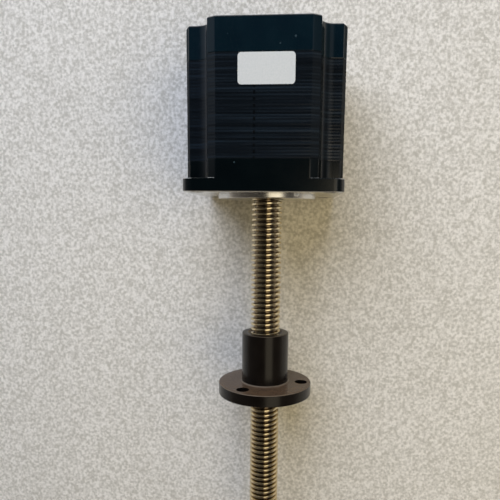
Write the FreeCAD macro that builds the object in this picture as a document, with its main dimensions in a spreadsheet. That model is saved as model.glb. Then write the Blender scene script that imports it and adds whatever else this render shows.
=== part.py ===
import os
import re

import FreeCAD
import Part
import Sketcher

# Linear stepper motor whose rotor shaft carries on outside as a lead screw with a flanged nut.
# Origin at the centre of the mounting face, +X along the screw, +Z up, millimetres.

SIZES = {
    # Housing, square in section, with a notch along each corner
    "frame_width": 56.4,
    "land_width": 32.3,
    "notch_wall": 19.05,
    "notch_fillet": 5.0,
    "notch_chamfer": 1.4,
    "front_cover_depth": 11.2,
    "stack_length": 34.2,
    "rear_cover_depth": 11.4,
    "edge_break": 0.4,
    # Mounting flange and pilot
    "flange_thickness": 4.7,
    "flange_corner_radius": 4.0,
    "hole_shift": 0.055,
    "hole_diameter": 5.1,
    "pilot_diameter": 38.1,
    "pilot_height": 1.6,
    "screw_clearance": 0.7,
    # Cavities of the covers
    "cavity_wall": 0.59,
    "boss_wall": 2.0,
    "end_turn_clearance": 0.6,
    # Bolts that hold the covers and the stack together
    "bolt_inset": 1.8,
    "bolt_diameter": 3.0,
    "bolt_clearance": 0.15,
    "bolt_grip": 6.0,
    "bolt_head_diameter": 5.5,
    "bolt_head_height": 2.8,
    "bolt_socket": 2.5,
    "bolt_socket_depth": 1.4,
    "bolt_recess": 0.3,
    # Stator
    "pole_count": 8,
    "pole_width": 5.6,
    "teeth_per_pole": 6,
    "slot_opening": 1.5,
    "slot_land": 0.6,
    "shoe_edge": 1.3,
    "shoe_root": 1.9,
    "tooth_depth": 0.8,
    # Rotor
    "rotor_diameter": 30.0,
    "rotor_teeth": 50,
    "air_gap": 0.2,
    "cup_length": 13.0,
    "cup_gap": 3.0,
    "magnet_diameter": 23.6,
    "magnet_seat": 1.0,
    "magnet_clearance": 0.05,
    "spacer_diameter": 11.0,
    # Windings and their end insulators
    "insulator_plate": 1.0,
    "insulator_wall": 0.8,
    "insulator_height": 3.2,
    "insulator_gap": 0.2,
    "window_land": 1.3,
    "coil_thickness": 2.4,
    "coil_seat": 0.3,
    "coil_share": 0.61,
    "coil_liner": 0.15,
    "coil_corner": 1.5,
    # Ball bearings
    "bearing_bore": 8.0,
    "bearing_outer": 22.0,
    "bearing_width": 7.0,
    "bearing_pitch": 15.1,
    "inner_ring_diameter": 12.1,
    "outer_ring_bore": 18.1,
    "ball_count": 7,
    "ball_diameter": 3.9,
    "race_clearance": 0.08,
    "cage_thickness": 1.2,
    "cage_width": 4.2,
    "cage_clearance": 0.12,
    "shield_thickness": 0.3,
    "shield_inset": 0.3,
    "shield_gap": 0.25,
    "ring_relief": 0.6,
    # Preload washer behind the rear bearing
    "washer_height": 1.0,
    "washer_wave": 0.6,
    "washer_width": 2.0,
    "washer_count": 3,
    "washer_wave_radius": 37.0,
    # Lead screw and nut
    "screw_diameter": 12.0,
    "screw_reach": 150.0,
    "screw_chamfer": 1.0,
    "thread_pitch": 2.0,
    "thread_depth": 1.25,
    "thread_root": 0.66,
    "thread_flank": 15.0,
    "shaft_tail": 0.5,
    "nut_start": 55.2,
    "nut_barrel_diameter": 19.0,
    "nut_barrel_length": 20.8,
    "nut_flange_diameter": 38.2,
    "nut_flange_thickness": 4.8,
    "nut_fillet": 0.8,
    "nut_hole_circle": 30.0,
    "nut_hole_diameter": 5.1,
    "nut_hole_count": 3,
    "nut_hole_angle": 2.0,
    "nut_countersink": 1.2,
    "nut_edge": 0.4,
    "nut_clearance": 0.06,
    # Connector in the underside of the rear cover
    "connector_width": 6.0,
    "connector_depth": 6.0,
    "connector_inset": 0.9,
    "connector_recess": 0.3,
    "connector_wall": 0.8,
    "connector_base": 1.6,
    "pin_count": 4,
    "pin_pitch": 2.5,
    "pin_side": 0.64,
    "pin_length": 3.8,
    # Gap left at every press fit
    "seat_gap": 0.02,
}

doc = FreeCAD.newDocument("LinearStepper")
sheet = doc.addObject("Spreadsheet::Sheet", "Sizes")
for row, (alias, number) in enumerate(SIZES.items(), 1):
    sheet.set(f"A{row}", alias)
    sheet.set(f"B{row}", str(number))
    sheet.setAlias(f"B{row}", alias)
doc.recompute()

# Lengths that follow from the sizes, as formulas of their names
HALF = "(frame_width / 2)"
LAND = "(land_width / 2)"
SHOULDER = f"({HALF} - notch_chamfer)"
NOTCH_ROUND = f"min(notch_fillet; ({SHOULDER} - notch_wall) * 0.9)"
HOLE = f"((notch_wall + {HALF}) / 2 - hole_shift)"
STACK_FRONT = "(-1 * front_cover_depth)"
STACK_REAR = "(-1 * front_cover_depth - stack_length)"
STACK_MIDDLE = "(-1 * front_cover_depth - stack_length / 2)"
HOUSING_REAR = f"({STACK_REAR} - rear_cover_depth)"
FRONT_SHOULDER = "(bearing_width - front_cover_depth)"
BEARING_SEAT = "(bearing_outer / 2 + seat_gap)"
BOSS = f"({BEARING_SEAT} + boss_wall)"
END_TURN = "(insulator_plate + coil_thickness)"
CAVITY_DEPTH = f"({END_TURN} + end_turn_clearance)"
STATOR_BORE = "(rotor_diameter / 2 + air_gap)"
SHOE_ROOT = f"({STATOR_BORE} + shoe_root)"
ROTOR_HALF = "(cup_length + cup_gap / 2)"
MAGNET_HALF = "(cup_gap / 2 + magnet_seat)"
SHAFT = "(bearing_bore / 2 - seat_gap)"
BOLT = "(notch_wall - bolt_inset)"
BOLT_HOLE = "(bolt_diameter / 2 + bolt_clearance)"
CAVITY = f"({BOLT} * sqrt(2) - {BOLT_HOLE} - cavity_wall)"
SLOT_FLOOR = f"({CAVITY} - slot_land)"
WINDOW_FLOOR = f"({CAVITY} - window_land)"
COIL_HEIGHT = f"(({SLOT_FLOOR} - {SHOE_ROOT}) * coil_share)"
COUNTERBORE = "(bolt_head_diameter / 2 + bolt_clearance)"
HEAD_DEPTH = "(bolt_head_height + bolt_recess)"
RACE = "(ball_diameter / 2 + race_clearance)"
CAGE_POCKET = "(ball_diameter / 2 + cage_clearance)"
POLE_ANGLE = "(360 / pole_count)"
TOOTH_ANGLE = "(360 / rotor_teeth)"
CONNECTOR_HALF = "((pin_count + 1) * pin_pitch / 2)"
SCREW_OPENING = "(screw_diameter / 2 + screw_clearance)"
NUT_FLANGE = "(nut_barrel_length + nut_flange_thickness)"


def bound(formula):
    return re.sub(r"[a-z_]+", lambda word: ("Sizes." if word[0] in SIZES else "") + word[0], formula)


def value(formula):
    number = sheet.evalExpression(bound(formula))
    return float(getattr(number, "Value", number))


def count(alias):
    return int(round(value(alias)))


def bind(thing, name, formula):
    thing.setExpression(name, bound(formula))


def body(label, along="0", turn="0"):
    made = doc.addObject("PartDesign::Body", label)
    made.Label = label
    made.AllowCompound = True
    made.Placement = FreeCAD.Placement(
        FreeCAD.Vector(value(along), 0, 0), FreeCAD.Rotation(FreeCAD.Vector(1, 0, 0), value(turn))
    )
    bind(made, "Placement.Base.x", along)
    if value(turn):
        bind(made, "Placement.Rotation.Angle", turn)
    return made


def origin(part, role):
    return next(item for item in part.Origin.OriginFeatures if item.Role == role)


def sketch(part, plane, name, lift="0", turn="0"):
    made = part.newObject("Sketcher::SketchObject", name)
    made.AttachmentSupport = [(origin(part, plane), "")]
    made.MapMode = "FlatFace"
    made.AttachmentOffset = FreeCAD.Placement(
        FreeCAD.Vector(0, 0, value(lift)), FreeCAD.Rotation(FreeCAD.Vector(0, 0, 1), value(turn))
    )
    bind(made, "AttachmentOffset.Base.z", lift)
    if value(turn):
        bind(made, "AttachmentOffset.Rotation.Angle", turn)
    return made


def pin(drawing, item, point, kind, formula):
    distance = value(formula)
    if abs(distance) < 1e-9:
        axis = -2 if kind == "DistanceX" else -1
        drawing.addConstraint(Sketcher.Constraint("PointOnObject", item, point, axis))
        return
    ends = (-1, 1, item, point) if distance > 0 else (item, point, -1, 1)
    sign = "" if distance > 0 else "-1 * "
    index = drawing.addConstraint(Sketcher.Constraint(kind, *ends, abs(distance)))
    bind(drawing, f"Constraints[{index}]", f"{sign}({formula})")


def polygon(drawing, corners):
    places = [FreeCAD.Vector(value(x), value(y), 0) for x, y in corners]
    first = drawing.GeometryCount
    for place, following in zip(places, places[1:] + places[:1]):
        drawing.addGeometry(Part.LineSegment(place, following))
    for number in range(len(places)):
        following = (number + 1) % len(places)
        drawing.addConstraint(Sketcher.Constraint("Coincident", first + number, 2, first + following, 1))
    for number, (x, y) in enumerate(corners):
        pin(drawing, first + number, 1, "DistanceX", x)
        pin(drawing, first + number, 1, "DistanceY", y)


def rectangle(drawing, low_x, high_x, low_y, high_y):
    polygon(drawing, [(low_x, low_y), (high_x, low_y), (high_x, high_y), (low_x, high_y)])


def circle(drawing, x, y, radius):
    centre = FreeCAD.Vector(value(x), value(y), 0)
    index = drawing.addGeometry(Part.Circle(centre, FreeCAD.Vector(0, 0, 1), value(radius)))
    pin(drawing, index, 3, "DistanceX", x)
    pin(drawing, index, 3, "DistanceY", y)
    rule = drawing.addConstraint(Sketcher.Constraint("Radius", index, value(radius)))
    bind(drawing, f"Constraints[{rule}]", radius)


def corner_circles(drawing, offset, radius):
    for y in (1, -1):
        for z in (1, -1):
            circle(drawing, f"{y} * ({offset})", f"{z} * ({offset})", radius)


def pad(part, drawing, length, forward=True):
    made = part.newObject("PartDesign::Pad", drawing.Name + "_pad")
    made.Profile = drawing
    made.Reversed = not forward
    bind(made, "Length", length)
    doc.recompute()
    return made


def pocket(part, drawing, length=None, forward=False):
    before = part.Shape.Volume
    made = part.newObject("PartDesign::Pocket", drawing.Name + "_cut")
    made.Profile = drawing
    made.Reversed = forward
    if length is None:
        made.Type = "ThroughAll"
    else:
        bind(made, "Length", length)
    doc.recompute()
    if made.Shape.Volume > before - 1e-6:
        raise RuntimeError(f"{drawing.Name} cuts nothing")
    return made


def turned(part, drawing, cut=False):
    kind = "Groove" if cut else "Revolution"
    made = part.newObject(f"PartDesign::{kind}", drawing.Name + "_turn")
    made.Profile = drawing
    made.ReferenceAxis = (drawing, ["H_Axis"])
    made.Angle = 360
    doc.recompute()
    return made


def repeat(part, feature, times):
    made = part.newObject("PartDesign::PolarPattern", feature.Name + "_set")
    made.Originals = [feature]
    made.Axis = (origin(part, "X_Axis"), [""])
    made.Angle = 360
    bind(made, "Occurrences", times)
    part.Tip = made
    doc.recompute()
    return made


def dress(part, kind, test, size_name, formula):
    base = part.Tip
    edges = [f"Edge{number}" for number, edge in enumerate(base.Shape.Edges, 1) if test(edge.BoundBox)]
    made = part.newObject(f"PartDesign::{kind}", f"{part.Name}_{kind}")
    made.Base = (base, edges)
    bind(made, size_name, formula)
    part.Tip = made
    doc.recompute()
    return made


# Edge tests on an edge's box: a line along X in the four corners, and an edge on a plane across X
def in_corners(distance):
    def test(box):
        line = box.YLength < 1e-6 and box.ZLength < 1e-6
        return line and abs(abs(box.Center.y) - distance) < 1e-4 and abs(abs(box.Center.z) - distance) < 1e-4

    return test


def across(x, least=0.0, most=1e9):
    def test(box):
        reach = max(box.YMax, -box.YMin, box.ZMax, -box.ZMin)
        return box.XLength < 1e-6 and abs(box.XMin - x) < 1e-4 and least < reach < most

    return test


# Square bar with its four corners notched, from the body's own origin towards -X
def notched_bar(part, length):
    bar = sketch(part, "YZ_Plane", part.Name + "_bar")
    rectangle(bar, f"-1 * {HALF}", HALF, f"-1 * {HALF}", HALF)
    pad(part, bar, length, forward=False)
    notch = sketch(part, "YZ_Plane", part.Name + "_notch")
    beyond = f"({HALF} + notch_fillet)"
    polygon(
        notch,
        [
            ("notch_wall", "notch_wall"),
            (SHOULDER, "notch_wall"),
            (HALF, LAND),
            (beyond, LAND),
            (beyond, beyond),
            (LAND, beyond),
            (LAND, HALF),
            ("notch_wall", SHOULDER),
        ],
    )
    repeat(part, pocket(part, notch), "4")
    dress(part, "Fillet", in_corners(value("notch_wall")), "Radius", NOTCH_ROUND)


# Front cover: notched bar, square flange, round pilot, bearing seat and a ring cavity for the end turns
front_cover = body("front_cover")
notched_bar(front_cover, "front_cover_depth")
flange = sketch(front_cover, "YZ_Plane", "flange")
rectangle(flange, f"-1 * {HALF}", HALF, f"-1 * {HALF}", HALF)
pad(front_cover, flange, "flange_thickness", forward=False)
dress(front_cover, "Fillet", in_corners(value(HALF)), "Radius", "flange_corner_radius")
dress(front_cover, "Chamfer", across(0.0), "Size", "edge_break")
pilot = sketch(front_cover, "YZ_Plane", "pilot")
circle(pilot, "0", "0", "pilot_diameter / 2")
pad(front_cover, pilot, "pilot_height")
dress(front_cover, "Chamfer", across(value("pilot_height")), "Size", "edge_break / 2")
front_bores = sketch(front_cover, "XY_Plane", "front_bores")
polygon(
    front_bores,
    [
        ("pilot_height + 1", "0"),
        ("pilot_height + 1", SCREW_OPENING),
        (f"{FRONT_SHOULDER} + ring_relief", SCREW_OPENING),
        (f"{FRONT_SHOULDER} + ring_relief", "outer_ring_bore / 2"),
        (FRONT_SHOULDER, "outer_ring_bore / 2"),
        (FRONT_SHOULDER, BEARING_SEAT),
        (f"{STACK_FRONT} - 1", BEARING_SEAT),
        (f"{STACK_FRONT} - 1", "0"),
    ],
)
rectangle(front_bores, f"{STACK_FRONT} - 1", f"{STACK_FRONT} + {CAVITY_DEPTH}", BOSS, CAVITY)
turned(front_cover, front_bores, cut=True)
mount_holes = sketch(front_cover, "YZ_Plane", "mount_holes")
corner_circles(mount_holes, HOLE, "hole_diameter / 2")
pocket(front_cover, mount_holes)
tapped_holes = sketch(front_cover, "YZ_Plane", "tapped_holes", lift=STACK_FRONT)
corner_circles(tapped_holes, BOLT, "bolt_diameter / 2 + seat_gap")
pocket(front_cover, tapped_holes, "bolt_grip + bolt_recess", forward=True)

# Stator: notched stack with eight wound poles, each ending in a shoe with fine teeth
stator_core = body("stator_core", along=STACK_FRONT)
notched_bar(stator_core, "stack_length")
stator_bore = sketch(stator_core, "YZ_Plane", "stator_bore")
circle(stator_bore, "0", "0", STATOR_BORE)
pocket(stator_core, stator_bore)


# Space between two poles, drawn along the local X axis of its sketch
def slot_outline(drawing, mouth, edge, root, floor, opening, width):
    def side(reach):
        return f"(({reach}) * tan({POLE_ANGLE} / 2) - ({width}) / 2 / cos({POLE_ANGLE} / 2))"

    upper = [(mouth, opening), (edge, opening), (root, side(root)), (floor, side(floor))]
    polygon(drawing, upper + [(x, f"-1 * {y}") for x, y in reversed(upper)])


slots = sketch(stator_core, "YZ_Plane", "slots", turn=f"{POLE_ANGLE} / 2")
slot_outline(
    slots,
    f"({STATOR_BORE} - tooth_depth)",
    f"({STATOR_BORE} + shoe_edge)",
    SHOE_ROOT,
    SLOT_FLOOR,
    "(slot_opening / 2)",
    "pole_width",
)
repeat(stator_core, pocket(stator_core, slots), "pole_count")
tooth_gaps = sketch(stator_core, "YZ_Plane", "tooth_gaps")
for gap in range(count("teeth_per_pole") - 1):
    middle = f"({gap + 1} - teeth_per_pole / 2) * {TOOTH_ANGLE}"
    low, high = (f"({middle} {sign} {TOOTH_ANGLE} / 4)" for sign in "-+")
    near, far = f"({STATOR_BORE} - tooth_depth / 2)", f"({STATOR_BORE} + tooth_depth)"
    polygon(
        tooth_gaps,
        [
            (f"{reach} * cos({angle})", f"{reach} * sin({angle})")
            for reach, angle in ((near, low), (far, low), (far, high), (near, high))
        ],
    )
repeat(stator_core, pocket(stator_core, tooth_gaps), "pole_count")
stack_holes = sketch(stator_core, "YZ_Plane", "stack_holes")
corner_circles(stack_holes, BOLT, BOLT_HOLE)
pocket(stator_core, stack_holes)

# Rear cover: bearing seat with room for the preload washer, counterbores and the connector's recess
rear_cover = body("rear_cover", along=STACK_REAR)
notched_bar(rear_cover, "rear_cover_depth")
dress(rear_cover, "Chamfer", across(value("-1 * rear_cover_depth")), "Size", "edge_break")
rear_bores = sketch(rear_cover, "XY_Plane", "rear_bores")
rectangle(rear_bores, "-1 * (bearing_width + washer_height)", "1", "0", BEARING_SEAT)
rectangle(rear_bores, f"-1 * {CAVITY_DEPTH}", "1", BOSS, CAVITY)
turned(rear_cover, rear_bores, cut=True)
rear_holes = sketch(rear_cover, "YZ_Plane", "rear_holes")
corner_circles(rear_holes, BOLT, BOLT_HOLE)
pocket(rear_cover, rear_holes)
counterbores = sketch(rear_cover, "YZ_Plane", "counterbores", lift="-1 * rear_cover_depth")
corner_circles(counterbores, BOLT, COUNTERBORE)
pocket(rear_cover, counterbores, HEAD_DEPTH, forward=True)
connector_rear = "(connector_inset - rear_cover_depth)"
connector_front = f"({connector_rear} + connector_width)"
recess = sketch(rear_cover, "XY_Plane", "connector_recess", lift=f"-1 * {HALF}")
rectangle(
    recess,
    f"{connector_rear} - seat_gap",
    f"{connector_front} + seat_gap",
    f"-1 * {CONNECTOR_HALF} - seat_gap",
    f"{CONNECTOR_HALF} + seat_gap",
)
pocket(rear_cover, recess, "connector_depth", forward=True)

# Connector header with its open side down, and its pins
connector_header = body("connector_header", along=STACK_REAR)
header = sketch(connector_header, "XY_Plane", "header", lift=f"-1 * {HALF} + connector_recess")
rectangle(header, connector_rear, connector_front, f"-1 * {CONNECTOR_HALF}", CONNECTOR_HALF)
pad(connector_header, header, "connector_depth - connector_recess")
socket = sketch(connector_header, "XY_Plane", "socket", lift=f"-1 * {HALF} + connector_recess")
rectangle(
    socket,
    f"{connector_rear} + connector_wall",
    f"{connector_front} - connector_wall",
    f"connector_wall - {CONNECTOR_HALF}",
    f"{CONNECTOR_HALF} - connector_wall",
)
pocket(connector_header, socket, "connector_depth - connector_recess - connector_base", forward=True)
connector_pins = body("connector_pins", along=STACK_REAR)
pins = sketch(connector_pins, "XY_Plane", "pins", lift=f"-1 * {HALF} + connector_depth - connector_base")
pin_line = f"({connector_rear} + connector_width / 2)"
for number in range(count("pin_count")):
    place = f"({number} - (pin_count - 1) / 2) * pin_pitch"
    rectangle(
        pins,
        f"{pin_line} - pin_side / 2",
        f"{pin_line} + pin_side / 2",
        f"{place} - pin_side / 2",
        f"{place} + pin_side / 2",
    )
pad(connector_pins, pins, "pin_length", forward=False)

# Four long bolts from the rear cover, through the stack, into the front cover
through_bolts = body("through_bolts", along=HOUSING_REAR)
heads = sketch(through_bolts, "YZ_Plane", "heads", lift="bolt_recess")
corner_circles(heads, BOLT, "bolt_head_diameter / 2")
pad(through_bolts, heads, "bolt_head_height")
shanks = sketch(through_bolts, "YZ_Plane", "shanks", lift=HEAD_DEPTH)
corner_circles(shanks, BOLT, "bolt_diameter / 2")
pad(through_bolts, shanks, f"rear_cover_depth + stack_length + bolt_grip - {HEAD_DEPTH}")
sockets = sketch(through_bolts, "YZ_Plane", "bolt_sockets", lift="bolt_recess")
for y in (1, -1):
    for z in (1, -1):
        polygon(
            sockets,
            [
                (
                    f"{y} * {BOLT} + bolt_socket / sqrt(3) * cos({60 * turn})",
                    f"{z} * {BOLT} + bolt_socket / sqrt(3) * sin({60 * turn})",
                )
                for turn in range(6)
            ],
        )
pocket(through_bolts, sockets, "bolt_socket_depth", forward=True)


# End insulator: a ring channel on the end of the stack, with a window for each slot
def insulator(label, along, turn):
    part = body(label, along=along, turn=turn)
    inner = f"({STATOR_BORE} + insulator_gap)"
    outer = f"({CAVITY} - insulator_gap)"
    channel = sketch(part, "XY_Plane", label + "_channel")
    polygon(
        channel,
        [
            ("0", inner),
            ("insulator_height", inner),
            ("insulator_height", f"{inner} + insulator_wall"),
            ("insulator_plate", f"{inner} + insulator_wall"),
            ("insulator_plate", f"{outer} - insulator_wall"),
            ("insulator_height", f"{outer} - insulator_wall"),
            ("insulator_height", outer),
            ("0", outer),
        ],
    )
    turned(part, channel)
    windows = sketch(part, "YZ_Plane", label + "_windows", turn=f"{POLE_ANGLE} / 2")
    slot_outline(
        windows,
        f"({STATOR_BORE} + shoe_edge)",
        f"({STATOR_BORE} + shoe_edge + insulator_gap)",
        SHOE_ROOT,
        WINDOW_FLOOR,
        "(slot_opening / 2)",
        "pole_width",
    )
    repeat(part, pocket(part, windows, "insulator_plate", forward=True), "pole_count")
    return part


front_insulator = insulator("front_insulator", STACK_FRONT, "0")
rear_insulator = insulator("rear_insulator", STACK_REAR, "0")
rear_insulator.Placement.Rotation = FreeCAD.Rotation(FreeCAD.Vector(0, 0, 1), 180)


# Winding of one phase: a coil on every second pole
def winding(label, turn):
    part = body(label, along=STACK_MIDDLE, turn=turn)
    coil = sketch(part, "XY_Plane", label + "_coil", lift=f"{SHOE_ROOT} + coil_seat")
    inside_x = "(stack_length / 2 + insulator_plate)"
    inside_y = "(pole_width / 2 + coil_liner)"
    outside_x = f"({inside_x} + coil_thickness)"
    outside_y = f"({inside_y} + coil_thickness)"
    corners = []
    for x, y in ((1, 1), (-1, 1), (-1, -1), (1, -1)):
        flank = (f"{x} * {outside_x}", f"{y} * ({outside_y} - coil_corner)")
        end = (f"{x} * ({outside_x} - coil_corner)", f"{y} * {outside_y}")
        corners += [flank, end] if x * y > 0 else [end, flank]
    polygon(coil, corners)
    rectangle(coil, f"-1 * {inside_x}", inside_x, f"-1 * {inside_y}", inside_y)
    repeat(part, pad(part, coil, COIL_HEIGHT), "pole_count / 2")
    return part


winding("phase_a_coils", "0")
winding("phase_b_coils", POLE_ANGLE)


# Toothed rotor cup, from its outer end at the body's origin towards +X, with a seat for the magnet
def rotor_cup(label, along, flip):
    part = body(label, along=along)
    disc = sketch(part, "YZ_Plane", label + "_disc")
    circle(disc, "0", "0", "rotor_diameter / 2")
    circle(disc, "0", "0", "bearing_bore / 2")
    pad(part, disc, "cup_length", forward=not flip)
    depth = "-1 * cup_length" if flip else "cup_length"
    seat = sketch(part, "YZ_Plane", label + "_seat", lift=depth)
    circle(seat, "0", "0", "magnet_diameter / 2 + magnet_clearance")
    pocket(part, seat, "magnet_seat", forward=flip)
    turn = f"{TOOTH_ANGLE} / 2" if flip else "0"
    gap = sketch(part, "YZ_Plane", label + "_gap", turn=turn)
    near, far = "(rotor_diameter / 2 - tooth_depth)", "(rotor_diameter / 2 + tooth_depth)"
    half = f"({TOOTH_ANGLE} / 4)"
    polygon(
        gap,
        [
            (f"{reach} * cos({half})", f"{sign} * {reach} * sin({half})")
            for reach, sign in ((near, -1), (far, -1), (far, 1), (near, 1))
        ],
    )
    repeat(part, pocket(part, gap, forward=not flip), "rotor_teeth")
    return part


rotor_cup("front_rotor_cup", f"{STACK_MIDDLE} + {ROTOR_HALF}", True)
rotor_cup("rear_rotor_cup", f"{STACK_MIDDLE} - {ROTOR_HALF}", False)


# Plain ring turned about the shaft
def ring(label, along, low_x, high_x, low_r, high_r):
    part = body(label, along=along)
    section = sketch(part, "XY_Plane", label + "_section")
    rectangle(section, low_x, high_x, low_r, high_r)
    turned(part, section)
    return part


ring("rotor_magnet", STACK_MIDDLE, f"-1 * {MAGNET_HALF}", MAGNET_HALF, "bearing_bore / 2", "magnet_diameter / 2")
ring(
    "front_spacer", STACK_MIDDLE, ROTOR_HALF, "stack_length / 2", "bearing_bore / 2", "spacer_diameter / 2"
)
ring(
    "rear_spacer",
    STACK_MIDDLE,
    "-1 * stack_length / 2",
    f"-1 * {ROTOR_HALF}",
    "bearing_bore / 2",
    "spacer_diameter / 2",
)


# Deep-groove ball bearing about the body's origin, at the middle of its width
def bearing(name, along):
    half = "(bearing_width / 2)"
    rings = {
        "inner_ring": ("bearing_bore / 2", "inner_ring_diameter / 2"),
        "outer_ring": ("outer_ring_bore / 2", "bearing_outer / 2"),
    }
    for piece, (low, high) in rings.items():
        part = ring(f"{name}_{piece}", along, f"-1 * {half}", half, low, high)
        race = sketch(part, "XY_Plane", f"{name}_{piece}_race")
        circle(race, "0", "bearing_pitch / 2", RACE)
        turned(part, race, cut=True)
    balls = body(f"{name}_balls", along=along)
    ball = balls.newObject("PartDesign::AdditiveSphere", f"{name}_ball")
    cage = ring(
        f"{name}_cage",
        along,
        "-1 * cage_width / 2",
        "cage_width / 2",
        "bearing_pitch / 2 - cage_thickness / 2",
        "bearing_pitch / 2 + cage_thickness / 2",
    )
    hole = cage.newObject("PartDesign::SubtractiveSphere", f"{name}_ball_pocket")
    for part, sphere, radius in ((balls, ball, "ball_diameter / 2"), (cage, hole, CAGE_POCKET)):
        sphere.AttachmentSupport = [(origin(part, "XY_Plane"), "")]
        sphere.MapMode = "FlatFace"
        bind(sphere, "AttachmentOffset.Base.z", "bearing_pitch / 2")
        bind(sphere, "Radius", radius)
        doc.recompute()
        repeat(part, sphere, "ball_count")
    shields = body(f"{name}_shields", along=along)
    sections = sketch(shields, "XY_Plane", f"{name}_shield_sections")
    for side in (1, -1):
        rectangle(
            sections,
            f"{side} * ({half} - shield_inset - shield_thickness)",
            f"{side} * ({half} - shield_inset)",
            "inner_ring_diameter / 2 + shield_gap",
            "outer_ring_bore / 2 - seat_gap",
        )
    turned(shields, sections)


bearing("front_bearing", f"{STACK_FRONT} + bearing_width / 2")
bearing("rear_bearing", f"{STACK_REAR} - bearing_width / 2")

# Wave washer: a ring hollowed in turn from one side and the other
wave_washer = ring(
    "wave_washer",
    f"{STACK_REAR} - bearing_width - washer_height",
    "0",
    "washer_height",
    f"{BEARING_SEAT} - seat_gap - washer_width",
    f"{BEARING_SEAT} - seat_gap",
)
crests = sketch(wave_washer, "XY_Plane", "washer_crests")
circle(crests, "washer_wave - washer_wave_radius", "0", "washer_wave_radius")
repeat(wave_washer, pocket(wave_washer, crests, forward=True), "washer_count")
valleys = sketch(wave_washer, "XY_Plane", "washer_valleys")
circle(valleys, "washer_height - washer_wave + washer_wave_radius", "0", "washer_wave_radius")
repeat(wave_washer, pocket(wave_washer, valleys), "washer_count")

# Lead screw and rotor shaft, turned in one piece
lead_screw = body("lead_screw")
tail = f"({STACK_REAR} - bearing_width - shaft_tail)"
shaft = sketch(lead_screw, "XY_Plane", "shaft")
polygon(
    shaft,
    [
        (tail, "0"),
        ("screw_reach", "0"),
        ("screw_reach", "screw_diameter / 2 - screw_chamfer"),
        ("screw_reach - screw_chamfer", "screw_diameter / 2"),
        (FRONT_SHOULDER, "screw_diameter / 2"),
        (FRONT_SHOULDER, SHAFT),
        (f"{tail} + shaft_tail", SHAFT),
        (tail, f"{SHAFT} - shaft_tail"),
    ],
)
turned(lead_screw, shaft)
# Trapezoidal thread, right-handed, from inside the front cover to past the screw's end
thread_start = f"({FRONT_SHOULDER} + thread_pitch)"
thread_bottom = "(screw_diameter / 2 - thread_depth)"
thread_top = "(screw_diameter / 2 + thread_depth / 8)"
wide = f"(thread_root / 2 + ({thread_top} - {thread_bottom}) * tan(thread_flank))"
groove = sketch(lead_screw, "XY_Plane", "thread_groove")
polygon(
    groove,
    [
        (f"{thread_start} - thread_root / 2", thread_bottom),
        (f"{thread_start} + thread_root / 2", thread_bottom),
        (f"{thread_start} + {wide}", thread_top),
        (f"{thread_start} - {wide}", thread_top),
    ],
)
thread = lead_screw.newObject("PartDesign::SubtractiveHelix", "thread")
thread.Profile = groove
thread.ReferenceAxis = (groove, ["H_Axis"])
thread.Mode = "pitch-height-angle"
thread.LeftHanded = False
bind(thread, "Pitch", "thread_pitch")
bind(thread, "Height", f"screw_reach + thread_pitch - {thread_start}")
lead_screw.Tip = thread
doc.recompute()

# Flanged nut, its barrel towards the motor
flanged_nut = body("flanged_nut", along="nut_start")
nut_bore = "(screw_diameter / 2 + nut_clearance)"
barrel = "(nut_barrel_diameter / 2)"
rim = "(nut_flange_diameter / 2)"
profile = sketch(flanged_nut, "XY_Plane", "nut_profile")
polygon(
    profile,
    [
        ("nut_countersink", nut_bore),
        (f"{NUT_FLANGE} - nut_countersink", nut_bore),
        (NUT_FLANGE, f"{nut_bore} + nut_countersink"),
        (NUT_FLANGE, f"{rim} - nut_edge"),
        (f"{NUT_FLANGE} - nut_edge", rim),
        ("nut_barrel_length + nut_edge", rim),
        ("nut_barrel_length", f"{rim} - nut_edge"),
        ("nut_barrel_length", barrel),
        ("nut_edge", barrel),
        ("0", f"{barrel} - nut_edge"),
        ("0", f"{nut_bore} + nut_countersink"),
    ],
)
turned(flanged_nut, profile)
dress(
    flanged_nut,
    "Fillet",
    across(value("nut_barrel_length"), most=value(f"{barrel} + nut_edge")),
    "Radius",
    "nut_fillet",
)
nut_hole = sketch(flanged_nut, "YZ_Plane", "nut_hole", lift="nut_barrel_length", turn="nut_hole_angle")
circle(nut_hole, "nut_hole_circle / 2", "0", "nut_hole_diameter / 2")
repeat(flanged_nut, pocket(flanged_nut, nut_hole, "nut_flange_thickness", forward=True), "nut_hole_count")

# Every feature solved and every piece sound before anything is written
doc.recompute()
for item in doc.Objects:
    if "Invalid" in item.State or "Error" in item.State:
        raise RuntimeError(f"{item.Label} failed: {item.State}")
pieces = [item for item in doc.Objects if item.TypeId == "PartDesign::Body"]
for piece in pieces:
    if piece.Shape.isNull() or not piece.Shape.isValid() or not piece.Shape.Solids:
        raise RuntimeError(f"{piece.Label} has no sound solid")

os.makedirs("parts", exist_ok=True)
for piece in pieces:
    piece.Shape.exportStep(f"parts/{piece.Label}.step")
    print(f"{piece.Label:28s} {len(piece.Shape.Solids)} solids {piece.Shape.Volume:10.1f} mm3")
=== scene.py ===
import math
import random

import bmesh
import bpy
from mathutils import Matrix, Vector


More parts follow.
